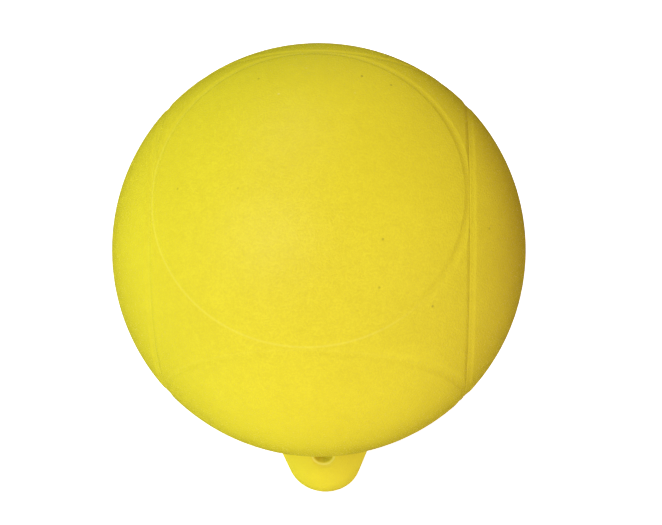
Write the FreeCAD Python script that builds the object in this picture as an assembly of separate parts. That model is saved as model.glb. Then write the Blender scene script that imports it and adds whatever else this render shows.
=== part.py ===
import FreeCAD, Part
import math
import os

# A round marker buoy, blown in one piece from yellow polyethylene: a hollow ball with a
# shallow ring pressed into each of six sides, and a solid pillow-shaped tab below it with
# a bored eye for the mooring line. The tab is squeezed flat where the two halves of the
# mould meet, so the parting plane is y = 0 and both sides of it are alike.
# The origin is the middle of the eye. +Z points up through the ball, the eye's bore runs
# along Y, and the tab is broad along X. Sizes are in millimetres, angles in degrees.

# The ball
BALL_DIAMETER = 200.0
WALL_THICKNESS = 3.0

# The six rings: one round groove each. The gap is between the middles of two neighbouring
# grooves where they come closest, so their banks run together there
GROOVE_WIDTH = 5.8
GROOVE_DEPTH = 0.35
RING_GAP = 1.4
LAND_MARGIN = 4.0

# The tab, measured from the lowest point of the ball
TAB_LENGTH = 40.5
TAB_ROOT_WIDTH = 55.0
TAB_END_RADIUS = 18.8
TAB_THICKNESS = 20.0
TAB_RIM_THICKNESS = 3.2
TAB_RIM_ROUNDING = 1.3
ROOT_ROUNDING = 2.0

# The eye through the tab: a bore whose rounded mouth opens in a shallow dish
EYE_DROP = 12.5
EYE_DIAMETER = 10.0
DISH_DIAMETER = 15.2
DISH_SLOPE = 30.0
MOUTH_ROUNDING = 1.2

# How far a cutter runs past the face that it opens, and how close counts as touching
CUT_MARGIN = 1.0
TOUCHING = 0.001

Vector = FreeCAD.Vector
EYE_CENTRE = Vector(0, 0, 0)
X_AXIS = Vector(1, 0, 0)
Y_AXIS = Vector(0, 1, 0)

ball_radius = BALL_DIAMETER / 2
cavity_radius = ball_radius - WALL_THICKNESS
ball_bottom_z = EYE_DROP
ball_centre = Vector(0, 0, ball_bottom_z + ball_radius)
tab_half = TAB_THICKNESS / 2
rim_half = TAB_RIM_THICKNESS / 2

# The tab's outline: sides that lean in from the root and run tangent into a round end
end_centre_z = ball_bottom_z - TAB_LENGTH + TAB_END_RADIUS
root_half_width = TAB_ROOT_WIDTH / 2
root_rise = ball_bottom_z - end_centre_z
root_reach = math.hypot(root_half_width, root_rise)
lean = math.atan2(root_half_width, root_rise) - math.asin(TAB_END_RADIUS / root_reach)
side_x = TAB_END_RADIUS * math.cos(lean)
side_z = end_centre_z - TAB_END_RADIUS * math.sin(lean)

# The tab's upper end is buried in the ball: its corners stop short of the cavity
buried_half_width = root_half_width + WALL_THICKNESS
top_z = ball_centre.z - math.sqrt(cavity_radius ** 2 - buried_half_width ** 2)
top_half_width = side_x + (top_z - side_z) * math.tan(lean)


def bulge_radius(half_width):
    """Radius of the arc that swells from the rim at half_width to the middle of the tab."""
    swell = tab_half - rim_half
    return (half_width ** 2 + swell ** 2) / (2 * swell)


def tab_outline():
    """The open outline of the tab in the parting plane: side, round end, side."""
    top_left = Vector(-top_half_width, 0, top_z)
    top_right = Vector(top_half_width, 0, top_z)
    side_left = Vector(-side_x, 0, side_z)
    side_right = Vector(side_x, 0, side_z)
    tip = Vector(0, 0, end_centre_z - TAB_END_RADIUS)
    return Part.Wire([
        Part.LineSegment(top_left, side_left).toShape(),
        Part.Arc(side_left, tip, side_right).toShape(),
        Part.LineSegment(side_right, top_right).toShape(),
    ])


def tab_slab(outline):
    """The outline closed across its top and made thick enough to hold the bulged faces."""
    ends = outline.OrderedVertexes
    top_line = Part.LineSegment(ends[-1].Point, ends[0].Point).toShape()
    face = Part.Face(Part.Wire(outline.Edges + [top_line]))
    face.translate(Y_AXIS * -TAB_THICKNESS)
    return face.extrude(Y_AXIS * (2 * TAB_THICKNESS))


def pillow_side(side):
    """A solid of turning whose skin is the bulged face of the tab on one side, -1 or 1.

    A small ball sits at the tab's round end and a large one at its root, with a cone
    tangent to both. Their skins all reach the same flat plane, so the middle of the tab
    keeps its thickness while the bulge grows flatter towards the wide root. The turning
    starts on the far side, so that no seam runs down the face.
    """
    small = bulge_radius(TAB_END_RADIUS)
    large = bulge_radius(top_half_width)
    low = Vector(0, side * (tab_half - small), end_centre_z)
    high = Vector(0, side * (tab_half - large), top_z)
    axis = high.sub(low)
    length = axis.Length
    axis.normalize()
    out = axis.cross(X_AXIS) * -side
    touch = math.acos((small - large) / length)

    def skin(centre, radius, angle):
        return centre.add(axis * (radius * math.cos(angle))).add(out * (radius * math.sin(angle)))

    low_end = skin(low, small, math.pi)
    low_bend = skin(low, small, (math.pi + touch) / 2)
    low_touch = skin(low, small, touch)
    high_touch = skin(high, large, touch)
    high_bend = skin(high, large, touch / 2)
    high_end = skin(high, large, 0)
    profile = Part.Wire([
        Part.Arc(low_end, low_bend, low_touch).toShape(),
        Part.LineSegment(low_touch, high_touch).toShape(),
        Part.Arc(high_touch, high_bend, high_end).toShape(),
        Part.LineSegment(high_end, low_end).toShape(),
    ])
    return Part.Face(profile).revolve(low, axis, 360)


def middle_of(edge):
    return edge.valueAt((edge.FirstParameter + edge.LastParameter) / 2)


def rim_edges(tab, outline):
    """The edges that follow the outline on either face of the tab."""
    edges = []
    for edge in tab.Edges:
        middle = middle_of(edge)
        flat = Part.Vertex(middle.x, 0, middle.z)
        follows = flat.distToShape(outline)[0] < TOUCHING
        one_side = edge.Vertexes[0].Point.y * edge.Vertexes[-1].Point.y > 0
        if follows and one_side:
            edges.append(edge)
    return edges


def mooring_tab():
    """The solid tab: its outline made thick, bulged on both sides and rounded at the rim."""
    outline = tab_outline()
    tab = tab_slab(outline).common(pillow_side(1)).common(pillow_side(-1))
    return tab.makeFillet(TAB_RIM_ROUNDING, rim_edges(tab, outline))


def round_ball(radius):
    """A ball about the buoy's centre, with its seam turned up, away from the tab."""
    ball = Part.makeSphere(radius)
    ball.rotate(EYE_CENTRE, Y_AXIS, -90)
    ball.translate(ball_centre)
    return ball


def join_at_root(ball, tab):
    """The ball with the tab grown onto it and the corner between them rounded."""
    joined = ball.fuse(tab).removeSplitter()
    root = []
    for edge in joined.Edges:
        middle = middle_of(edge)
        on_ball = abs(middle.distanceToPoint(ball_centre) - ball_radius) < TOUCHING
        if on_ball and middle.z < top_z:
            root.append(edge)
    return joined.makeFillet(ROOT_ROUNDING, root)


def eye_cutter():
    """What the eye takes out of the tab: the bore, its rounded mouths and both dishes."""
    bore = EYE_DIAMETER / 2
    dish = DISH_DIAMETER / 2
    slope = math.radians(DISH_SLOPE)
    outside_y = tab_half + CUT_MARGIN
    # The mouth's rounding touches the bore's wall and the sloping floor of the dish
    round_centre_x = bore + MOUTH_ROUNDING
    floor_x = round_centre_x - MOUTH_ROUNDING * math.sin(slope)
    floor_y = tab_half - (dish - floor_x) * math.tan(slope)
    round_centre_y = floor_y - MOUTH_ROUNDING * math.cos(slope)
    half_turn = (math.pi / 2 - slope) / 2
    bend_x = round_centre_x - MOUTH_ROUNDING * math.cos(half_turn)
    bend_y = round_centre_y + MOUTH_ROUNDING * math.sin(half_turn)

    axis_end = Vector(0, outside_y, 0)
    dish_top = Vector(dish, outside_y, 0)
    dish_edge = Vector(dish, tab_half, 0)
    floor = Vector(floor_x, floor_y, 0)
    bend = Vector(bend_x, bend_y, 0)
    wall_end = Vector(bore, round_centre_y, 0)
    back = [
        Part.LineSegment(axis_end, dish_top).toShape(),
        Part.LineSegment(dish_top, dish_edge).toShape(),
        Part.LineSegment(dish_edge, floor).toShape(),
        Part.Arc(floor, bend, wall_end).toShape(),
    ]
    front = [edge.mirror(EYE_CENTRE, Y_AXIS) for edge in back]
    wall = Part.LineSegment(wall_end, Vector(bore, -round_centre_y, 0)).toShape()
    axis_line = Part.LineSegment(axis_end, Vector(0, -outside_y, 0)).toShape()
    profile = Part.Wire(Part.sortEdges(back + front + [wall, axis_line])[0])
    return Part.Face(profile).revolve(EYE_CENTRE, Y_AXIS, 360)


def ring_axes():
    """The six sides of the ball: two along X, and four that slant between Y and Z.

    The tab stands halfway between two of the slanting ones.
    """
    axes = [X_AXIS, X_AXIS.negative()]
    for quarter in range(4):
        angle = math.radians(45 + 90 * quarter)
        axes.append(Vector(0, math.cos(angle), math.sin(angle)))
    return axes


def hollow_radius():
    """Radius of the round hollow that is GROOVE_WIDTH wide and GROOVE_DEPTH deep in the ball."""
    half_width = GROOVE_WIDTH / 2
    crown = ball_radius - math.sqrt(ball_radius ** 2 - half_width ** 2)
    across = 2 * crown * (ball_radius - GROOVE_DEPTH) + GROOVE_DEPTH ** 2
    return across / (2 * (GROOVE_DEPTH - crown))


def ring_cutters():
    """One ring for each side of the ball, left out on the smooth land round the tab's root."""
    hollow = hollow_radius()
    reach = ball_radius + hollow - GROOVE_DEPTH
    # Two rings would share their middle lines at 45 degrees, so each is half the gap smaller
    spread = math.radians(45) - RING_GAP / 2 / ball_radius
    land_radius = root_half_width + ROOT_ROUNDING + LAND_MARGIN
    land_height = ball_radius + 2 * hollow
    land = Part.makeCylinder(land_radius, land_height)
    land.translate(Vector(0, 0, ball_centre.z - land_height))
    cutters = []
    for axis in ring_axes():
        middle = ball_centre.add(axis * (reach * math.cos(spread)))
        ring = Part.makeTorus(reach * math.sin(spread), hollow, middle, axis)
        cutters.append(ring.cut(land))
    return cutters


def buoy_body():
    """The whole buoy: joined and rounded, then bored, grooved and hollowed."""
    body = join_at_root(round_ball(ball_radius), mooring_tab())
    body = body.cut(eye_cutter())
    for ring in ring_cutters():
        body = body.cut(ring)
    return body.cut(round_ball(cavity_radius)).Solids[0]


os.makedirs("parts", exist_ok=True)
buoy = buoy_body()
buoy.exportStep("parts/buoy_body.step")
print("buoy_body: valid", buoy.isValid(), "faces", len(buoy.Faces), "volume", round(buoy.Volume), "mm3")
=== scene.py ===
# %% [markdown]
# # A round marker buoy
# The imported model comes in first, as the fixed frame that everything here is built in.
# It gives the body that the buoy rides on, and its box, whose bottom sets the floor.
# Blender works in metres, and this buoy is easier to think about in millimetres, so the
# shapes are worked out in millimetres and scaled once, at the end of each node tree.

# %% Load the frame
import math

import bmesh
import bpy
from mathutils import Matrix, Vector


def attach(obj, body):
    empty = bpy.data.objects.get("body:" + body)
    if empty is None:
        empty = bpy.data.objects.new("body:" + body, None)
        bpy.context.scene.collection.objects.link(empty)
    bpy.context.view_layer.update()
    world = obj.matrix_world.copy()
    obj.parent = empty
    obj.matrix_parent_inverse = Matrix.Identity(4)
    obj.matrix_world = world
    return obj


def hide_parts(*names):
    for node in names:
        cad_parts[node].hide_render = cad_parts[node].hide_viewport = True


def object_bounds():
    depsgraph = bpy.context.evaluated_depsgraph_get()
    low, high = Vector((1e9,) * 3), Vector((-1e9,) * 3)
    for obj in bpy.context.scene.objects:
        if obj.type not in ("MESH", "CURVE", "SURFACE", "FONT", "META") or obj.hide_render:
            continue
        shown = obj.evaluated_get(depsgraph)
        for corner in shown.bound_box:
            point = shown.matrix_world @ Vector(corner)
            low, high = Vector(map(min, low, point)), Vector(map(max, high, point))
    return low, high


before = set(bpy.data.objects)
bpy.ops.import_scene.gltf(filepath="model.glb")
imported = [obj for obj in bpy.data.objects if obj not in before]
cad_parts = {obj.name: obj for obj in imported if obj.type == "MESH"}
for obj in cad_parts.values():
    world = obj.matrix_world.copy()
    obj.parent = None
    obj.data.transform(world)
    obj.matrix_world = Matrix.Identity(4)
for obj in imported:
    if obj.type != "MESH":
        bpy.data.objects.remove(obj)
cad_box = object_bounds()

MM = 0.001
print("the model's box in mm", [[round(c / MM, 2) for c in corner] for corner in cad_box])

# %% [markdown]
# # Sums on wires
# Both the shape and the finish of the buoy are rules, and a rule is easiest to read as a
# sum. A node tree would need a Math node placed and wired by hand for each sign in it.
# Instead one small class wraps a socket, so that writing a + b adds the node that adds
# them.


# %% Wires
class Wire:
    """One output socket of a tree. Sums on wires add Math nodes, or Vector Math nodes."""

    def __init__(self, bench, socket):
        self.bench = bench
        self.socket = socket

    def is_vector(self):
        return self.socket.type == "VECTOR"

    def also(self, name):
        """Another output of the same node."""
        return Wire(self.bench, self.socket.node.outputs[name])

    def sum_with(self, word, other, swapped=False):
        first, second = (other, self) if swapped else (self, other)
        vectors = [isinstance(side, Wire) and side.is_vector() for side in (first, second)]
        if not any(vectors):
            return self.bench.node("ShaderNodeMath", {"operation": word}, {0: first, 1: second})
        if word == "MULTIPLY" and not all(vectors):
            vector, number = (first, second) if vectors[0] else (second, first)
            return vector.scaled(number)
        return self.bench.node("ShaderNodeVectorMath", {"operation": word}, {0: first, 1: second})

    def scaled(self, number):
        """A vector made longer or shorter."""
        sockets = {0: self, "Scale": number}
        return self.bench.node("ShaderNodeVectorMath", {"operation": "SCALE"}, sockets)

    def __add__(self, other):
        return self.sum_with("ADD", other)

    def __radd__(self, other):
        return self.sum_with("ADD", other, True)

    def __sub__(self, other):
        return self.sum_with("SUBTRACT", other)

    def __rsub__(self, other):
        return self.sum_with("SUBTRACT", other, True)

    def __mul__(self, other):
        return self.sum_with("MULTIPLY", other)

    def __rmul__(self, other):
        return self.sum_with("MULTIPLY", other, True)

    def __truediv__(self, other):
        return self.sum_with("DIVIDE", other)

    def __rtruediv__(self, other):
        return self.sum_with("DIVIDE", other, True)

    def __gt__(self, other):
        return self.sum_with("GREATER_THAN", other)

    def __lt__(self, other):
        return self.sum_with("LESS_THAN", other)

    def __neg__(self):
        return self * -1.0

    def __abs__(self):
        return maths("ABSOLUTE", self)


print("wires ready")

# %% [markdown]
# A tree is laid out on a bench, which has one way to add any other node: its kind, its
# settings first, and then the values or wires of its sockets. The rest are words for the
# sums that Python has no sign for, so that the rules below read like plain sentences.


# %% The bench and words for sums
class Bench:
    """A node tree that is being laid out."""

    def __init__(self, tree):
        self.tree = tree

    def node(self, kind, settings=None, sockets=None, out=0):
        """Adds a node and gives one of its outputs, by number or name, as a wire."""
        node = self.tree.nodes.new(kind)
        for name, value in (settings or {}).items():
            setattr(node, name, value)
        for name, value in (sockets or {}).items():
            if isinstance(value, Wire):
                self.tree.links.new(value.socket, node.inputs[name])
            else:
                node.inputs[name].default_value = value
        return Wire(self, node.outputs[out])


def maths(word, *values):
    """A Math node on the bench of whichever value is a wire."""
    bench = next(value.bench for value in values if isinstance(value, Wire))
    return bench.node("ShaderNodeMath", {"operation": word}, dict(enumerate(values)))


def smaller(a, b):
    return maths("MINIMUM", a, b)


def larger(a, b):
    return maths("MAXIMUM", a, b)


def square_root(a):
    return maths("SQRT", larger(a, 0.0))


def length_of(a, b):
    """The long side of a right-angled corner whose sides are a and b."""
    return square_root(a * a + b * b)


def choose(test, yes, no):
    """yes where test is 1, no where it is 0, and a blend in between."""
    return no + (yes - no) * test


def ease(value, start, end):
    """0 before start, 1 after end, and a smooth step between them."""
    return value.bench.node(
        "ShaderNodeMapRange",
        {"interpolation_type": "SMOOTHSTEP"},
        {"Value": value, "From Min": start, "From Max": end},
    )


def parts_of(vector):
    """The x, y and z of a vector wire."""
    x = vector.bench.node("ShaderNodeSeparateXYZ", {}, {0: vector})
    return x, x.also("Y"), x.also("Z")


print("bench ready")

# %% [markdown]
# # Running a geometry tree
# Geometry Nodes suit this buoy, because its main shape follows a rule: a ball with the
# same ring on six sides. A tree is a modifier, so it needs an object to sit on. Once its
# sizes are set, the evaluated result is copied out as a plain mesh and the object goes.


# %% Make and run a tree
def shape_tree(name, sizes):
    """A new geometry tree with one named input for each size. Gives the bench and the inputs."""
    tree = bpy.data.node_groups.new(name, "GeometryNodeTree")
    tree.interface.new_socket("Geometry", in_out="OUTPUT", socket_type="NodeSocketGeometry")
    for label, value in sizes.items():
        kind = "NodeSocketInt" if isinstance(value, int) else "NodeSocketFloat"
        tree.interface.new_socket(label, in_out="INPUT", socket_type=kind)
    tree.interface.new_socket("Material", in_out="INPUT", socket_type="NodeSocketMaterial")
    bench = Bench(tree)
    entry = tree.nodes.new("NodeGroupInput")
    return bench, {socket.name: Wire(bench, socket) for socket in entry.outputs if socket.name}


def end_tree(bench, shape, material, lift=None):
    """Scales a shape from millimetres to metres, makes it plain and smooth, and hands it out."""
    scaled = bench.node(
        "GeometryNodeTransform",
        {},
        {"Geometry": shape, "Translation": lift or (0.0, 0.0, 0.0), "Scale": (MM, MM, MM)},
    )
    smooth = bench.node("GeometryNodeSetShadeSmooth", {}, {"Geometry": scaled})
    plain = bench.node("GeometryNodeRealizeInstances", {}, {"Geometry": smooth})
    painted = bench.node("GeometryNodeSetMaterial", {}, {"Geometry": plain, "Material": material})
    leave = bench.tree.nodes.new("NodeGroupOutput")
    bench.tree.links.new(painted.socket, leave.inputs[0])


def run_tree(bench, sizes, material):
    """The plain mesh that a tree makes from these sizes."""
    tree = bench.tree
    holder = bpy.data.objects.new(tree.name, bpy.data.meshes.new(tree.name))
    bpy.context.scene.collection.objects.link(holder)
    modifier = holder.modifiers.new(tree.name, "NODES")
    modifier.node_group = tree
    for item in tree.interface.items_tree:
        if item.in_out == "INPUT":
            modifier[item.identifier] = material if item.name == "Material" else sizes[item.name]
    ready = holder.evaluated_get(bpy.context.evaluated_depsgraph_get())
    mesh = bpy.data.meshes.new_from_object(ready)
    bpy.data.objects.remove(holder)
    print(tree.name, "has", len(mesh.vertices), "vertices and", len(mesh.polygons), "faces")
    return mesh


plastic = bpy.data.materials.new("yellow_plastic")
plastic.use_nodes = True

# %% [markdown]
# # The ball and its six rings
# The ball is blown in a mould with a shallow ring cut into each of six sides. The rings
# face like the sides of a cube that is tipped 45 degrees about X, so four of them slant,
# and neighbours nearly touch. A plain UV sphere can't show them: the groove is only 6 mm
# wide and a third of a millimetre deep, and a mesh fine enough for it everywhere would
# be far too heavy. So one side of a cube is made as a round cap whose rows crowd together
# along the groove and spread out elsewhere. The cap's outer rows run out to the square
# edge that it shares with its neighbours. Six copies on the faces of a cube close up.

# %% The ball's sizes
BALL_RADIUS = 100.0
BALL_HEIGHT = 112.5
GROOVE_WIDTH = 5.8
GROOVE_DEPTH = 0.35
WITNESS_WIDTH = 1.1
WITNESS_DEPTH = 0.17
WITNESS_SHIFT = 0.8
RING_GAP = 1.4
LAND_RADIUS = 33.5
OPENING_RADIUS = 32.3

# The cube is tipped by half a right angle. Rings of that same spread would touch their
# neighbours, so each is half the gap smaller.
TIP = math.radians(45)

# The radius of the round hollow that is GROOVE_WIDTH wide and GROOVE_DEPTH deep in the ball
crown = BALL_RADIUS - math.sqrt(BALL_RADIUS**2 - (GROOVE_WIDTH / 2) ** 2)
across = 2 * crown * (BALL_RADIUS - GROOVE_DEPTH) + GROOVE_DEPTH**2
hollow_radius = across / (2 * (GROOVE_DEPTH - crown))
ball_sizes = {
    "Ball Radius": BALL_RADIUS,
    "Ball Height": BALL_HEIGHT,
    "Ring Spread": TIP - RING_GAP / 2 / BALL_RADIUS,
    "Groove Depth": GROOVE_DEPTH,
    "Hollow Radius": hollow_radius,
    "Witness Width": WITNESS_WIDTH,
    "Witness Depth": WITNESS_DEPTH,
    "Witness Shift": WITNESS_SHIFT,
    "Land Radius": LAND_RADIUS,
    "Opening Radius": OPENING_RADIUS,
    "Points Round": 161,
    "Rows": 58,
}
print("a groove is a hollow of", round(hollow_radius, 2), "mm radius")

# %% [markdown]
# A flat grid becomes the cap: its x is the turn round the cap, and its y runs from the
# pole to the edge. INNER_SHARE of the rows lie inside the middle of the groove. CROWDING is
# the row spacing at the groove, times the number of rows on that side of its middle, and
# the rows' places follow a cube from there, so they spread out ever faster.

# %% One cap, from a grid
INNER_SHARE = 0.70
INNER_CROWDING = 13.0
OUTER_CROWDING = 5.5
OUTER_SPREAD = 13.5


def cubed(a):
    return a * a * a


def ring_cap(bench, size):
    """One side of the ball, facing up, with its rows crowded along the ring."""
    counts = {"Vertices X": size["Points Round"], "Vertices Y": size["Rows"]}
    grid = bench.node("GeometryNodeMeshGrid", {}, {"Size X": 1.0, "Size Y": 1.0, **counts})
    x, y, _ = parts_of(bench.node("GeometryNodeInputPosition"))
    turn = (x + 0.5) * (-2 * math.pi)
    row = y + 0.5
    inner = larger(1.0 - row / INNER_SHARE, 0.0)
    outer = larger((row - INNER_SHARE) / (1 - INNER_SHARE), 0.0)
    spread, radius = size["Ring Spread"], size["Ball Radius"]
    cosine, sine = maths("COSINE", turn), maths("SINE", turn)
    edge = (maths("ARCTANGENT", 1.0 / larger(abs(cosine), abs(sine))) - spread) * radius
    inward = inner * INNER_CROWDING + cubed(inner) * (spread * radius - INNER_CROWDING)
    outward = smaller(outer * OUTER_CROWDING + cubed(outer) * OUTER_SPREAD, outer * edge)
    slant = spread + (outward - inward) / radius
    reach = maths("SINE", slant)
    place = bench.node(
        "ShaderNodeCombineXYZ", {}, {0: reach * cosine, 1: reach * sine, 2: maths("COSINE", slant)}
    )
    return bench.node("GeometryNodeSetPosition", {}, {"Geometry": grid, "Position": place * radius})


row_gap = INNER_CROWDING / INNER_SHARE / ball_sizes["Rows"]
print("the rows lie", round(row_gap, 2), "mm apart along a groove")

# %% [markdown]
# The cap is copied onto the six faces of a cube. Each face's normal, turned into a
# rotation, is caught before the faces become points, because points have no normal.

# %% Six caps make the ball
MERGE_DISTANCE = 0.01


def six_caps(bench, cap):
    """The cap on all six sides of a tipped cube, joined into one skin."""
    cube = bench.node("GeometryNodeMeshCube")
    normal = bench.node("GeometryNodeInputNormal")
    facing = bench.node("FunctionNodeAlignRotationToVector", {"axis": "Z"}, {"Vector": normal})
    catch = bench.tree.nodes.new("GeometryNodeCaptureAttribute")
    catch.domain = "FACE"
    catch.capture_items.new("ROTATION", "facing")
    bench.tree.links.new(cube.socket, catch.inputs[0])
    bench.tree.links.new(facing.socket, catch.inputs[1])
    caught_cube, caught_facing = Wire(bench, catch.outputs[0]), Wire(bench, catch.outputs[1])
    middle = bench.node("ShaderNodeCombineXYZ")
    points = bench.node(
        "GeometryNodeMeshToPoints", {"mode": "FACES"}, {"Mesh": caught_cube, "Position": middle}
    )
    copies = bench.node(
        "GeometryNodeInstanceOnPoints",
        {},
        {"Points": points, "Instance": cap, "Rotation": caught_facing},
    )
    skin = bench.node("GeometryNodeRealizeInstances", {}, {"Geometry": copies})
    tipped = bench.node(
        "GeometryNodeTransform", {}, {"Geometry": skin, "Rotation": (TIP, 0.0, 0.0)}
    )
    sockets = {"Geometry": tipped, "Distance": MERGE_DISTANCE}
    return bench.node("GeometryNodeMergeByDistance", {}, sockets)


print("six grids of", ball_sizes["Points Round"], "by", ball_sizes["Rows"], "points make the ball")

# %% [markdown]
# The grooves are pressed in last, by the same rule as in the model: a ring is a round
# hollow that rolls along a circle. So all that counts is the angle between a point and the
# nearest ring. Only three axes are needed, because each of them has a ring at both ends.

# %% How far a point is from the rings
HALF_ROOT = math.sqrt(0.5)
UPRIGHT_AXIS = (1.0, 0.0, 0.0)
SLANTING_AXES = ((0.0, HALF_ROOT, HALF_ROOT), (0.0, -HALF_ROOT, HALF_ROOT))


def off_ring(direction, axis, spread):
    """The angle between a direction and the nearer of the two rings about this axis."""
    along = direction.bench.node(
        "ShaderNodeVectorMath", {"operation": "DOT_PRODUCT"}, {0: direction, 1: axis}, "Value"
    )
    return abs(maths("ARCCOSINE", smaller(abs(along), 1.0)) - spread)


def off_any_ring(direction, spread):
    """The angle between a direction and the nearest of all six rings."""
    nearest = off_ring(direction, UPRIGHT_AXIS, spread)
    for axis in SLANTING_AXES:
        nearest = smaller(nearest, off_ring(direction, axis, spread))
    return nearest


print("the rings lie round", 1 + len(SLANTING_AXES), "axes")

# %% [markdown]
# Each point then moves along its own direction, down to the floor of the hollow. A fine
# witness line runs along the two upright grooves, just outside their middle, where an
# insert sat in the mould: it shows as a thin dark line. Round the tab's root the rings fade
# into a smooth land, whose middle is left open for the tab.

# %% Press the rings in
LAND_FADE = 1.5


def without(bench, skin, points):
    """The skin without some of its points."""
    sockets = {"Geometry": skin, "Selection": points}
    return bench.node("GeometryNodeDeleteGeometry", {"domain": "POINT"}, sockets)


def pressed_rings(bench, size, skin):
    """The skin with its rings pressed in and an opening left for the tab."""
    position = bench.node("GeometryNodeInputPosition")
    direction = bench.node("ShaderNodeVectorMath", {"operation": "NORMALIZE"}, {0: position})
    nearest = off_any_ring(direction, size["Ring Spread"])
    radius, hollow = size["Ball Radius"], size["Hollow Radius"]
    reach = radius + hollow - size["Groove Depth"]
    aside = reach * maths("SINE", nearest)
    left = hollow * hollow - aside * aside
    floor_of_groove = smaller(reach * maths("COSINE", nearest) - square_root(left), radius)
    witness_spread = size["Ring Spread"] + size["Witness Shift"] / radius
    off_upright = off_ring(direction, UPRIGHT_AXIS, witness_spread) * radius
    witness = larger(1.0 - off_upright * 2.0 / size["Witness Width"], 0.0)
    floor_of_groove = floor_of_groove - witness * size["Witness Depth"]
    x, y, z = parts_of(position)
    from_axis = length_of(x, y)
    above = z > 0.0
    clear_of_land = ease(from_axis, size["Land Radius"], size["Land Radius"] + LAND_FADE)
    grooved = larger(clear_of_land, above) * (left > 0.0)
    place = direction * choose(grooved, floor_of_groove, radius)
    pressed = bench.node("GeometryNodeSetPosition", {}, {"Geometry": skin, "Position": place})
    opening = (from_axis < size["Opening Radius"]) * (1.0 - above)
    return without(bench, pressed, opening)


ball_bench, ball_size = shape_tree("ringed_ball", ball_sizes)
plain_ball = six_caps(ball_bench, ring_cap(ball_bench, ball_size))
ball_skin = pressed_rings(ball_bench, ball_size, plain_ball)
ball_lift = ball_bench.node("ShaderNodeCombineXYZ", {}, {2: ball_size["Ball Height"] * MM})
end_tree(ball_bench, ball_skin, ball_size["Material"], ball_lift)
ball_mesh = run_tree(ball_bench, ball_sizes, plastic)

# %% [markdown]
# # The tab
# The tab is solid plastic, squeezed where the mould's two halves meet. It is swollen like
# a pillow on both faces, with a round end, a rounded rim, a rounded corner where it grows
# out of the ball, and an eye through it whose rounded mouth lies in a shallow dish.
# So many rounded corners that run into each other are hard to model by hand. Here the
# whole shape is written as a distance: how far any point in space is from the plastic,
# below zero inside it. Solids join by taking the smaller distance, cuts take the larger,
# and a rounded corner is a blend of two distances. A grid of such distances is a volume,
# and Volume to Mesh draws the skin where the distance is zero.

# %% The tab's sizes
TAB_LENGTH = 40.5
TAB_ROOT_WIDTH = 55.0
TAB_END_RADIUS = 18.8
TAB_THICKNESS = 20.0
TAB_RIM_THICKNESS = 3.2
WALL_THICKNESS = 3.0
EYE_DROP = 12.5
SKIRT_MARGIN, BOTTOM_MARGIN = 2.0, 1.5

tab_half, rim_half = TAB_THICKNESS / 2, TAB_RIM_THICKNESS / 2
end_height = EYE_DROP - TAB_LENGTH + TAB_END_RADIUS
tab_bottom = end_height - TAB_END_RADIUS
root_half = TAB_ROOT_WIDTH / 2
root_rise = EYE_DROP - end_height
root_reach = math.hypot(root_half, root_rise)
lean = math.atan2(root_half, root_rise) - math.asin(TAB_END_RADIUS / root_reach)
cavity_radius, buried_half = BALL_RADIUS - WALL_THICKNESS, root_half + WALL_THICKNESS
top_height = BALL_HEIGHT - math.sqrt(cavity_radius**2 - buried_half**2)
side_height = end_height - TAB_END_RADIUS * math.sin(lean)
top_half = TAB_END_RADIUS * math.cos(lean) + (top_height - side_height) * math.tan(lean)


def swell_radius(half_width):
    """Radius of the arc that swells from the rim at half_width to the middle of the tab."""
    swell = tab_half - rim_half
    return (half_width**2 + swell**2) / (2 * swell)


tab_sizes = {
    "Ball Radius": BALL_RADIUS,
    "Ball Height": BALL_HEIGHT,
    "End Radius": TAB_END_RADIUS,
    "End Height": end_height,
    "Lean": lean,
    "Half Thickness": tab_half,
    "End Swell": swell_radius(TAB_END_RADIUS),
    "Top Swell": swell_radius(top_half),
    "Top Height": top_height,
    "Rim Rounding": 1.3,
    "Root Rounding": 2.2,
    "Eye Radius": 5.0,
    "Dish Radius": 7.6,
    "Dish Slope": math.radians(30),
    "Mouth Rounding": 1.2,
    "Skirt Radius": 31.2,
    "Bottom": tab_bottom - BOTTOM_MARGIN,
    "Top": 20.0,
    "Grain": 0.45,
}
print("the tab leans", round(math.degrees(lean), 1), "degrees and ends at z", round(tab_bottom, 2))

# %% [markdown]
# Two faces that meet in a corner are rounded by what is left of each one's distance,
# worked as the sides of a triangle whose angle is the turn between the faces.

# %% Rounded corners
RIM_TURN = math.radians(50)
ROOT_TURN = math.radians(72)


def rounded(a, b, radius, turn):
    """The solid inside both a and b, with the corner between them rounded."""
    a, b = a + radius, b + radius
    cosine = maths("COSINE", turn) if isinstance(turn, Wire) else math.cos(turn)
    sine = maths("SINE", turn) if isinstance(turn, Wire) else math.sin(turn)
    at_corner = (a > b * cosine) * (b > a * cosine)
    corner = square_root(a * a + b * b - a * b * cosine * 2.0) / sine
    return choose(at_corner, corner, larger(a, b)) - radius


turns = [round(math.degrees(turn)) for turn in (RIM_TURN, ROOT_TURN)]
print("the skin turns", turns[0], "degrees at the rim and", turns[1], "at the root")


# %% [markdown]
# Seen from the front the tab is a round end whose two sides lean outwards. Each of its
# faces is the skin of a tapered capsule: a small ball at the round end, a large one at
# the root, and the cone that touches both.

# %% Distance to the tab's outline and faces
def outline_distance(size, x, z):
    """How far a point is outside the tab's outline, seen from the front."""
    aside, up = abs(x), z - size["End Height"]
    cosine, sine = maths("COSINE", size["Lean"]), maths("SINE", size["Lean"])
    side = aside * cosine - up * sine - size["End Radius"]
    end = length_of(aside, up) - size["End Radius"]
    return choose(aside * sine + up * cosine > 0.0, side, end)


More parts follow.
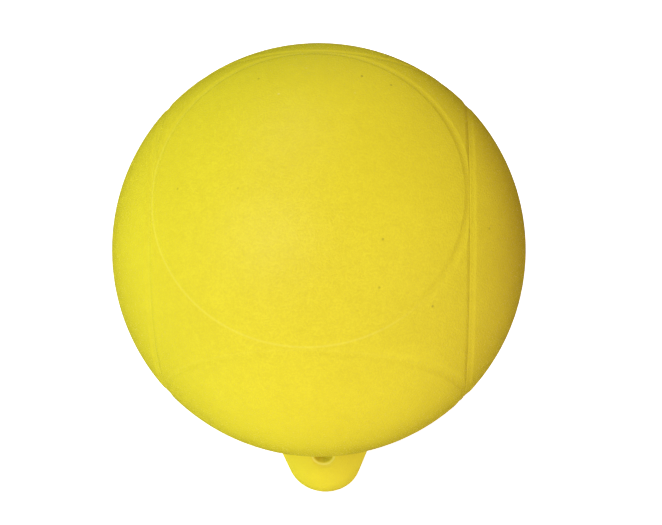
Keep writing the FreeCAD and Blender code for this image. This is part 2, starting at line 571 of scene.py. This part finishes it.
def face_distance(size, x, y, z):
    """How far a point is outside the swollen face on its own side of the tab."""
    small, large = size["End Swell"], size["Top Swell"]
    rise, lower = size["Top Height"] - size["End Height"], large - small
    length = length_of(rise, lower)
    from_low, up = abs(y) - size["Half Thickness"] + small, z - size["End Height"]
    along = (up * rise - from_low * lower) / length
    out = length_of(x, (from_low * rise + up * lower) / length)
    slope = (small - large) / length
    level = square_root(1.0 - slope * slope)
    reach = along * level - out * slope
    low_ball = length_of(out, along) - small
    high_ball = length_of(out, along - length) - large
    cone = out * level + along * slope - small
    return choose(reach > 0.0, choose(reach > length * level, high_ball, cone), low_ball)


def mouth_distance(size, x, y, z):
    """Above zero inside what the eye takes out: the bore, its rounded mouths and both dishes."""
    from_axis = length_of(x, z)
    slope = size["Dish Slope"]
    dish_depth = (size["Dish Radius"] - from_axis) * maths("TANGENT", slope)
    dish_floor = size["Half Thickness"] - dish_depth
    over_floor = (abs(y) - dish_floor) * maths("COSINE", slope)
    turn = math.pi / 2 - slope
    mouth = rounded(size["Eye Radius"] - from_axis, over_floor, size["Mouth Rounding"], turn)
    return smaller(mouth, size["Dish Radius"] - from_axis)


swells = [round(tab_sizes[label], 1) for label in ("End Swell", "Top Swell")]
print("the faces swell with radii of", swells[0], "mm at the end and", swells[1], "at the top")


# %% [markdown]
# The pieces come together in one rule: round the rim, join the ball with a rounded
# corner, and cut the eye. The skin that Volume to Mesh draws is a little off the true
# surface, so every point is then slid along its own normal by the distance that is left.
# The skirt of ball around the tab is kept, to be sewn to the big ball's opening.

# %% The tab as a volume
SETTLING_STEPS = 3
STRAY = 0.9


def tab_distance(bench, size):
    """How far any point is outside the tab and the ball above it, and how far off the axis."""
    x, y, z = parts_of(bench.node("GeometryNodeInputPosition"))
    outline, faces = outline_distance(size, x, z), face_distance(size, x, y, z)
    tab = rounded(outline, faces, size["Rim Rounding"], RIM_TURN)
    ball = length_of(length_of(x, y), z - size["Ball Height"]) - size["Ball Radius"]
    joined = -rounded(-ball, -tab, size["Root Rounding"], ROOT_TURN)
    return larger(joined, mouth_distance(size, x, y, z)), length_of(x, y)


def tab_skin(bench, size):
    """The skin of the tab with a skirt of the ball around its root."""
    distance, from_axis = tab_distance(bench, size)
    skirt, bottom, top = size["Skirt Radius"] + SKIRT_MARGIN, size["Bottom"], size["Top"]
    low = bench.node("ShaderNodeCombineXYZ", {}, {0: -skirt, 1: -skirt, 2: bottom})
    high = bench.node("ShaderNodeCombineXYZ", {}, {0: skirt, 1: skirt, 2: top})
    wide, tall = skirt * 2.0 / size["Grain"], (top - bottom) / size["Grain"]
    volume = bench.node(
        "GeometryNodeVolumeCube",
        {},
        {
            "Density": -distance,
            "Background": -1.0,
            "Min": low,
            "Max": high,
            "Resolution X": wide,
            "Resolution Y": wide,
            "Resolution Z": tall,
        },
    )
    sockets = {"Volume": volume, "Threshold": 0.0}
    skin = bench.node("GeometryNodeVolumeToMesh", {"resolution_mode": "GRID"}, sockets)
    stray = larger(abs(distance) > STRAY, from_axis > size["Skirt Radius"])
    skin = without(bench, skin, stray)
    for _ in range(SETTLING_STEPS):
        slide = bench.node("GeometryNodeInputNormal") * -distance
        skin = bench.node("GeometryNodeSetPosition", {}, {"Geometry": skin, "Offset": slide})
    return skin


tab_bench, tab_size = shape_tree("mooring_tab", tab_sizes)
end_tree(tab_bench, tab_skin(tab_bench, tab_size), tab_size["Material"])
tab_mesh = run_tree(tab_bench, tab_sizes, plastic)

# %% [markdown]
# # One skin
# The real buoy is one piece, so its mesh is one closed skin too. The tab's skirt and the
# ball's opening both lie on the smooth land, a millimetre apart, and a ribbon of
# triangles sews them together. Ragged corners are trimmed first, because a ribbon needs
# two clean loops.


# %% Sew the tab to the ball
def trim(bm):
    """Takes away corners of the skin where two open edges cross at one point, and loose bits."""
    while True:
        open_ends = [v for v in bm.verts if sum(e.is_boundary for e in v.link_edges) > 2]
        if not open_ends:
            break
        faces = list({face for v in open_ends for face in v.link_faces})
        bmesh.ops.delete(bm, geom=faces, context="FACES")
    loose = [v for v in bm.verts if not v.link_faces]
    bmesh.ops.delete(bm, geom=loose, context="VERTS")


def sewn(name, material, *meshes):
    """One closed skin from meshes that lie edge to edge."""
    bm = bmesh.new()
    for mesh in meshes:
        bm.from_mesh(mesh)
    trim(bm)
    edges = [edge for edge in bm.edges if edge.is_boundary]
    bmesh.ops.triangle_fill(bm, use_beauty=True, use_dissolve=False, edges=edges, normal=(0, 0, -1))
    bmesh.ops.recalc_face_normals(bm, faces=bm.faces)
    for face in bm.faces:
        face.smooth = True
        face.material_index = 0
    still_open = sum(not edge.is_manifold for edge in bm.edges)
    triangles = sum(len(face.verts) - 2 for face in bm.faces)
    print(name, "has", triangles, "triangles")
    print(len(edges), "edges were sewn and", still_open, "are still open")
    mesh = bpy.data.meshes.new(name)
    bm.to_mesh(mesh)
    bm.free()
    mesh.materials.append(material)
    piece = bpy.data.objects.new(name, mesh)
    bpy.context.scene.collection.objects.link(piece)
    return piece


buoy = sewn("marker_buoy", plastic, ball_mesh, tab_mesh)
for spare in (ball_mesh, tab_mesh):
    bpy.data.meshes.remove(spare)
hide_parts("buoy_body")
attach(buoy, "root")

# %% [markdown]
# # The plastic
# The buoy is pigmented polyethylene: a strong, slightly green yellow, satin rather than
# glossy. Looked at closely it is never one flat colour. The pigment lies a little
# unevenly, the skin has the fine grain of a blasted mould, and there are a few pinholes,
# specks and pale nicks. All of it is worked out in millimetres from the place on the
# buoy, so no picture is needed and the grain is as fine on the tab as on the ball.

# %% Colours and small helpers
BASE_YELLOW = (0.800, 0.718, 0.037, 1.0)
DEEP_YELLOW = (0.766, 0.676, 0.034, 1.0)
# The tab's brighter yellow is painted light, lifting it out of the shade under the ball.
TAB_PAINTED_LIGHT_YELLOW = (0.900, 0.815, 0.055, 1.0)
NOISE_LOW, NOISE_HIGH = 0.35, 0.7
GRAIN_BROWN = (0.600, 0.480, 0.016, 1.0)
# The pale yellow of the groove lines, and of the painted highlight on the eye's mouth.
PALE_AND_HIGHLIGHT_YELLOW = (0.880, 0.820, 0.140, 1.0)
SPECK_BROWN = (0.360, 0.290, 0.020, 1.0)
NICK_PALE = (0.900, 0.820, 0.250, 1.0)


def mixed(factor, first, second):
    """The first colour where factor is 0, the second where it is 1, and a mix in between."""
    bench = next(side.bench for side in (factor, first, second) if isinstance(side, Wire))
    sockets = {0: factor, 6: first, 7: second}
    return bench.node("ShaderNodeMix", {"data_type": "RGBA"}, sockets, 2)


def noise(place, size, detail=2.0, roughness=0.5):
    """Soft random patches, about size millimetres across, from 0 to 1."""
    sockets = {"Vector": place, "Scale": 1.0 / size, "Detail": detail, "Roughness": roughness}
    return place.bench.node("ShaderNodeTexNoise", {}, sockets)


def blotches(value):
    """A noise made clearer: 0 in its hollows, 1 on its hills."""
    return ease(value, NOISE_LOW, NOISE_HIGH)


def direction_of(azimuth, elevation):
    """A way out from the ball. Azimuth 0 is the front and 90 the right side, in degrees."""
    turn, rise = math.radians(azimuth), math.radians(elevation)
    level = math.cos(rise)
    return Vector((math.sin(turn) * level, -math.cos(turn) * level, math.sin(rise)))


print("the plain yellow of the ball is", BASE_YELLOW[:3])


# %% [markdown]
# The specks that can be seen from the front are put where they are on the real buoy, each
# as an azimuth, an elevation and a strength: a speck is a distance from one point. On the
# back, which nobody has seen, a Voronoi texture scatters them about as thickly.

# %% Specks, pinholes and nicks
PINHOLES = (
    (47.0, 72.0, 1.0),
    (59.0, 65.5, 0.8),
    (-46.0, 71.0, 0.6),
    (21.5, 26.0, 0.6),
    (19.0, 14.5, 0.45),
    (33.0, 7.0, 0.6),
    (-43.5, 34.5, 0.5),
    (57.5, 20.0, 0.5),
    (-21.5, 38.5, 0.3),
)
NICKS = (
    (-7.0, 79.0, 0.5),
    (-20.0, 67.0, 0.7),
    (68.0, 64.0, 0.25),
    (30.0, 66.5, 0.3),
    (75.5, -5.5, 0.9),
)
PINHOLE_SIZE, NICK_SIZE = 0.80, 0.75
SPOT_CORE = 0.35
SPECK_SPACING, SPECK_STRENGTH = 15.0, 0.6
BACK_OF_BALL = 20.0


def spot(away, size):
    """1 in the core of a spot, fading out at size millimetres from its middle."""
    return 1.0 - ease(away, size * SPOT_CORE, size)


def spots(place, places, size):
    """A spot of its own strength at each of these places on the ball."""
    found = None
    for azimuth, elevation, strength in places:
        point = direction_of(azimuth, elevation) * BALL_RADIUS + Vector((0.0, 0.0, BALL_HEIGHT))
        away = place.bench.node(
            "ShaderNodeVectorMath", {"operation": "DISTANCE"}, {0: place, 1: point}, "Value"
        )
        here = spot(away, size) * strength
        found = here if found is None else larger(found, here)
    return found


def scattered_spots(place, size):
    """Specks about SPECK_SPACING apart on the back of the ball."""
    sockets = {"Vector": place, "Scale": 1.0 / SPECK_SPACING}
    away = place.bench.node("ShaderNodeTexVoronoi", {}, sockets) * SPECK_SPACING
    on_back = parts_of(place)[1] > BACK_OF_BALL
    return spot(away, size) * on_back * SPECK_STRENGTH


print(len(PINHOLES), "pinholes and specks and", len(NICKS), "nicks have a place on the front")


# %% [markdown]
# Three places have a look of their own. The tab is painted a stronger, lighter yellow,
# painted light that lifts it out of the shade under the ball. The middle of each groove is
# painted a little paler, most in the upper front ring, which can be made out by it on the
# left and below, where the light doesn't catch its groove. The eye's mouth has a painted
# highlight.

# %% The tab's painted light, the pale lines and the painted highlight on the eye's mouth
PALE_LINE_WIDTH = 2.0
PALE_LINES = ((UPRIGHT_AXIS, 0.06), (SLANTING_AXES[0], 0.06), (SLANTING_AXES[1], 0.26))
PALE_FADE_FROM, PALE_FADE_TO = 25.0, 60.0
# Where the eye's mouth gets its painted highlight, in mm from the eye's axis.
MOUTH_HIGHLIGHT_FROM, MOUTH_HIGHLIGHT_TO, MOUTH_HIGHLIGHT_FADE = 5.4, 6.3, 0.3
RIM_WANDER, RIM_WANDER_SIZE = 0.3, 1.6
FACE_OF_TAB = 7.6
# Where the tab's painted light fades out into the ball, as heights in mm.
TAB_LIGHT_FROM, TAB_LIGHT_TO = 13.0, 7.0


def pale_lines(place):
    """How pale the middle of each groove is. The lines fade out towards the right side."""
    bench = place.bench
    from_centre = place - Vector((0.0, 0.0, BALL_HEIGHT))
    direction = bench.node("ShaderNodeVectorMath", {"operation": "NORMALIZE"}, {0: from_centre})
    palest = None
    for axis, strength in PALE_LINES:
        off_middle = off_ring(direction, axis, ball_sizes["Ring Spread"]) * BALL_RADIUS
        line = (1.0 - ease(off_middle, 0.0, PALE_LINE_WIDTH / 2)) * strength
        palest = line if palest is None else larger(palest, line)
    x, y, z = parts_of(from_centre)
    clear_of_tab = larger(length_of(x, y) > LAND_RADIUS, z > 0.0)
    return palest * clear_of_tab * (1.0 - ease(x, PALE_FADE_FROM, PALE_FADE_TO))


def mouth_painted_highlight(place):
    """1 on the rounded mouth of the eye, on both faces of the tab, where a highlight is painted."""
    x, y, z = parts_of(place)
    from_axis = length_of(x, z) + (noise(place, RIM_WANDER_SIZE) - 0.5) * RIM_WANDER
    begun = ease(from_axis, MOUTH_HIGHLIGHT_FROM - MOUTH_HIGHLIGHT_FADE, MOUTH_HIGHLIGHT_FROM)
    ended = ease(from_axis, MOUTH_HIGHLIGHT_TO - MOUTH_HIGHLIGHT_FADE, MOUTH_HIGHLIGHT_TO)
    return begun * (1.0 - ended) * (abs(y) > FACE_OF_TAB)


def tab_painted_light(place):
    """1 on the tab, where its painted light goes, fading out where it grows into the ball."""
    return 1.0 - ease(parts_of(place)[2], TAB_LIGHT_TO, TAB_LIGHT_FROM)


# The eye's mouth is given a painted highlight between these two distances.
print("the eye has a painted highlight", MOUTH_HIGHLIGHT_FROM, "to", MOUTH_HIGHLIGHT_TO, "mm from its middle")


# %% [markdown]
# The finish is put together in three steps: the colour, the height of the skin in
# millimetres, and the shader. Only the colour, the roughness and the bump change over
# the surface. The diffuse roughness is high, because light sinks into this plastic and
# comes out again all round, which keeps the lit side of the ball even and flat.

# %% The finish
PATCH_SIZE, MOTTLE_SIZE, GRAIN_SIZE, WAVE_SIZE = 45.0, 4.0, 0.9, 14.0
PATCH_DETAIL, GRAIN_SHARPNESS = 3.0, 0.8
PATCH_SHARE, MOTTLE_SHARE, GRAIN_SHARE = 0.6, 0.09, 0.31
# The tab's share sets its painted light, and the eye mouth's share sets its painted highlight.
TAB_PAINTED_LIGHT_SHARE, MOUTH_HIGHLIGHT_SHARE, PIT_SHARE, NICK_SHARE = 0.38, 0.85, 0.85, 0.9
WAVE_HEIGHT, GRAIN_HEIGHT, PIT_DEPTH = 0.05, 0.29, 0.10
SATIN, GRAIN_DULLS = 0.20, 0.12


def plastic_colour(place, grain):
    """Broad pigment patches, a mottle of a few millimetres and a fine brown grain."""
    patches = noise(place, PATCH_SIZE, PATCH_DETAIL)
    mottle = noise(place, MOTTLE_SIZE)
    colour = mixed(blotches(patches) * PATCH_SHARE, BASE_YELLOW, DEEP_YELLOW)
    colour = mixed(blotches(mottle) * MOTTLE_SHARE, colour, GRAIN_BROWN)
    return mixed(blotches(grain) * GRAIN_SHARE, colour, GRAIN_BROWN)


def yellow_plastic(material):
    """Fills the material in with the buoy's satin plastic."""
    tree = material.node_tree
    tree.nodes.clear()
    bench = Bench(tree)
    place = bench.node("ShaderNodeTexCoord", {}, {}, "Object") * (1.0 / MM)
    grain = noise(place, GRAIN_SIZE, roughness=GRAIN_SHARPNESS)
    pits = larger(spots(place, PINHOLES, PINHOLE_SIZE), scattered_spots(place, PINHOLE_SIZE))
    nicks = spots(place, NICKS, NICK_SIZE)
    # The tab gets painted light: a stronger, lighter yellow that lifts it out of the ball's shade.
    colour = mixed(tab_painted_light(place) * TAB_PAINTED_LIGHT_SHARE, plastic_colour(place, grain), TAB_PAINTED_LIGHT_YELLOW)
    # The middle of each groove is painted a little paler, fading out towards the right side.
    colour = mixed(pale_lines(place), colour, PALE_AND_HIGHLIGHT_YELLOW)
    # The eye's mouth gets a painted highlight in pale yellow.
    colour = mixed(mouth_painted_highlight(place) * MOUTH_HIGHLIGHT_SHARE, colour, PALE_AND_HIGHLIGHT_YELLOW)
    colour = mixed(pits * PIT_SHARE, colour, SPECK_BROWN)
    colour = mixed(nicks * NICK_SHARE, colour, NICK_PALE)
    waves = noise(place, WAVE_SIZE) * WAVE_HEIGHT
    height = waves + grain * GRAIN_HEIGHT - (pits + nicks) * PIT_DEPTH
    bump = bench.node("ShaderNodeBump", {}, {"Strength": 1.0, "Distance": MM, "Height": height})
    skin = bench.node(
        "ShaderNodeBsdfPrincipled",
        {},
        {
            "Base Color": colour,
            "Roughness": SATIN + grain * GRAIN_DULLS,
            "Normal": bump,
            "IOR": 1.5,
            "Specular IOR Level": 0.17,
            "Diffuse Roughness": 1.0,
        },
    )
    out = tree.nodes.new("ShaderNodeOutputMaterial")
    tree.links.new(skin.socket, out.inputs["Surface"])
    print(material.name, "has", len(tree.nodes), "nodes")


yellow_plastic(plastic)

# %% [markdown]
# # Floor, light and camera
# The buoy stands on its tab on a white floor. The floor gives the camera a glow of its own
# on top of its pale paint: together they come out white, and the shadow that the buoy
# casts on the paint still shows. The floor is kept out of the buoy's shine, where it would
# lie as a grey band along the lower edge. It is clear from below, for a look from there.

# %% Floor
FLOOR_GLOW = 0.83
FLOOR_SHADE = 0.95
FLOOR_HALF = 3.0
FLOOR_GAP = 0.0005


def white_floor():
    """A floor that looks white from above, keeps a shadow, and is clear from below."""
    material = bpy.data.materials.new("studio_floor")
    material.use_nodes = True
    tree = material.node_tree
    tree.nodes.clear()
    bench = Bench(tree)
    seen = bench.node("ShaderNodeLightPath", {}, {}, "Is Camera Ray")
    shade = (FLOOR_SHADE, FLOOR_SHADE, FLOOR_SHADE, 1.0)
    paint = bench.node("ShaderNodeBsdfDiffuse", {}, {"Color": shade})
    white = {0: (1.0, 1.0, 1.0), "Scale": seen}
    white_if_seen = bench.node("ShaderNodeVectorMath", {"operation": "SCALE"}, white)
    glow = bench.node("ShaderNodeEmission", {}, {"Color": white_if_seen, "Strength": FLOOR_GLOW})
    shown = bench.node("ShaderNodeAddShader", {}, {0: paint, 1: glow})
    below = bench.node("ShaderNodeNewGeometry", {}, {}, "Backfacing")
    clear = bench.node("ShaderNodeBsdfTransparent")
    shown = bench.node("ShaderNodeMixShader", {}, {0: below, 1: shown, 2: clear})
    out = tree.nodes.new("ShaderNodeOutputMaterial")
    tree.links.new(shown.socket, out.inputs["Surface"])
    level = cad_box[0].z - FLOOR_GAP
    turns = ((-1, -1), (1, -1), (1, 1), (-1, 1))
    corners = [(x * FLOOR_HALF, y * FLOOR_HALF, level) for x, y in turns]
    mesh = bpy.data.meshes.new("studio_floor")
    mesh.from_pydata(corners, [], [(0, 1, 2, 3)])
    mesh.materials.append(material)
    floor = bpy.data.objects.new("studio_floor", mesh)
    floor.visible_glossy = False
    bpy.context.scene.collection.objects.link(floor)
    print("the floor lies at", round(level / MM, 1), "mm")


white_floor()

# %% [markdown]
# The world is a room that glows softly from two sides: nearly white from the left, where
# the key light stands, and fainter and pink from the right of the camera, which helps the
# warm light. Two wide glows have no edge, so neither can be seen as a shape in the satin
# skin. The camera itself sees the room as plain white.

# %% World
# Each glow of the room: its strength, azimuth, elevation, falloff and colour
ROOM_GLOWS = (
    (0.60, 20.0, 0.0, 3.0, (1.0, 0.74, 0.90)),
    (0.95, -45.0, 10.0, 6.0, (0.92, 1.0, 0.92)),
)


def white_world():
    """A room that glows softly where ROOM_GLOWS says, and that the camera sees as white."""
    world = bpy.data.worlds.new("studio")
    world.use_nodes = True
    tree = world.node_tree
    tree.nodes.clear()
    bench = Bench(tree)
    toward = bench.node("ShaderNodeTexCoord", {}, {}, "Generated")
    room = None
    for strength, azimuth, elevation, falloff, colour in ROOM_GLOWS:
        facing = bench.node(
            "ShaderNodeVectorMath",
            {"operation": "DOT_PRODUCT"},
            {0: toward, 1: direction_of(azimuth, elevation)},
            "Value",
        )
        glow = maths("POWER", larger(facing, 0.0), falloff) * strength
        sockets = {0: colour, "Scale": glow}
        tinted = bench.node("ShaderNodeVectorMath", {"operation": "SCALE"}, sockets)
        room = tinted if room is None else room + tinted
    soft = bench.node("ShaderNodeBackground", {}, {"Color": room})
    white = bench.node("ShaderNodeBackground", {}, {"Color": (1.0, 1.0, 1.0, 1.0)})
    seen = bench.node("ShaderNodeLightPath", {}, {}, "Is Camera Ray")
    shown = bench.node("ShaderNodeMixShader", {}, {0: seen, 1: soft, 2: white})
    out = tree.nodes.new("ShaderNodeOutputWorld")
    tree.links.new(shown.socket, out.inputs["Surface"])
    bpy.context.scene.world = world
    print("the room has", len(ROOM_GLOWS), "glows")


white_world()

# %% [markdown]
# The two soft highlights on the ball are the images of two lamps. The key light, in front
# and a little to the left, makes the lower one, and the top light, almost above, makes the
# upper one. The others make no highlight. The low light fills the tab, the warm light
# gives the right side the brown shade that the real one has there, and the back light
# lifts the upper edge and the side that is turned away.

# %% Lights
LAMP_DISTANCE = 1.3
ball_centre = Vector((0.0, 0.0, BALL_HEIGHT * MM))


def soft_light(name, azimuth, elevation, power, size, colour, shine=True):
    """A square soft light that looks at the ball. Without shine it makes no highlight."""
    away = direction_of(azimuth, elevation)
    lamp = bpy.data.lights.new(name, "AREA")
    lamp.size = size
    lamp.energy = power
    lamp.color = colour
    light = bpy.data.objects.new(name, lamp)
    light.location = ball_centre + away * LAMP_DISTANCE
    light.rotation_euler = away.to_track_quat("Z", "Y").to_euler()
    light.visible_glossy = shine
    light.visible_camera = False
    bpy.context.scene.collection.objects.link(light)
    print(name, "gives", power, "W from", [round(c, 2) for c in light.location])


soft_light("key_light", -24.0, 30.0, 6.8, 0.35, (0.94, 1.0, 0.95))
soft_light("top_light", -71.0, 77.0, 3.4, 0.22, (1.0, 0.98, 1.0))
soft_light("low_light", -15.0, 2.0, 2.8, 0.26, (0.94, 1.0, 0.95), shine=False)
soft_light("warm_light", 50.0, 8.0, 4.2, 0.5, (1.0, 0.64, 0.85), shine=False)
soft_light("back_light", 183.0, 26.0, 6.5, 0.4, (1.0, 0.97, 0.9), shine=False)

# %% [markdown]
# The camera stands where the photographer's did: almost straight in front of the buoy, and
# high enough that the ball's lower edge hides half of the eye.

# %% Camera
IMAGE_WIDTH, IMAGE_HEIGHT = 662, 525
SENSOR_WIDTH = 36.0
FOCAL_PIXELS = 1390.0
BALL_PIXEL = (319.14, 250.10)
CAMERA_DISTANCE = 0.679
CAMERA_AZIMUTH = math.radians(3.56)
CAMERA_ELEVATION = math.radians(25.26)
CAMERA_ROLL = math.radians(1.25)


def photo_camera():
    """A camera that sees the middle of the ball at BALL_PIXEL, leaning a little to its right."""
    data = bpy.data.cameras.new("camera")
    data.sensor_width = SENSOR_WIDTH
    data.lens = FOCAL_PIXELS * SENSOR_WIDTH / IMAGE_WIDTH
    data.clip_start, data.clip_end = 0.01, 20.0
    camera = bpy.data.objects.new("camera", data)
    swing = Matrix.Rotation(CAMERA_AZIMUTH, 4, "Z")
    tilt = Matrix.Rotation(math.pi / 2 - CAMERA_ELEVATION, 4, "X")
    turn = swing @ tilt @ Matrix.Rotation(-CAMERA_ROLL, 4, "Z")
    aside = (BALL_PIXEL[0] - IMAGE_WIDTH / 2) / FOCAL_PIXELS
    above = (IMAGE_HEIGHT / 2 - BALL_PIXEL[1]) / FOCAL_PIXELS
    to_ball = turn @ Vector((aside, above, -1.0)).normalized()
    place = ball_centre - to_ball * CAMERA_DISTANCE
    camera.matrix_world = Matrix.Translation(place) @ turn
    bpy.context.scene.collection.objects.link(camera)
    bpy.context.scene.camera = camera
    print("camera at", [round(c, 3) for c in place])


photo_camera()
bpy.context.scene.view_settings.view_transform = "Standard"
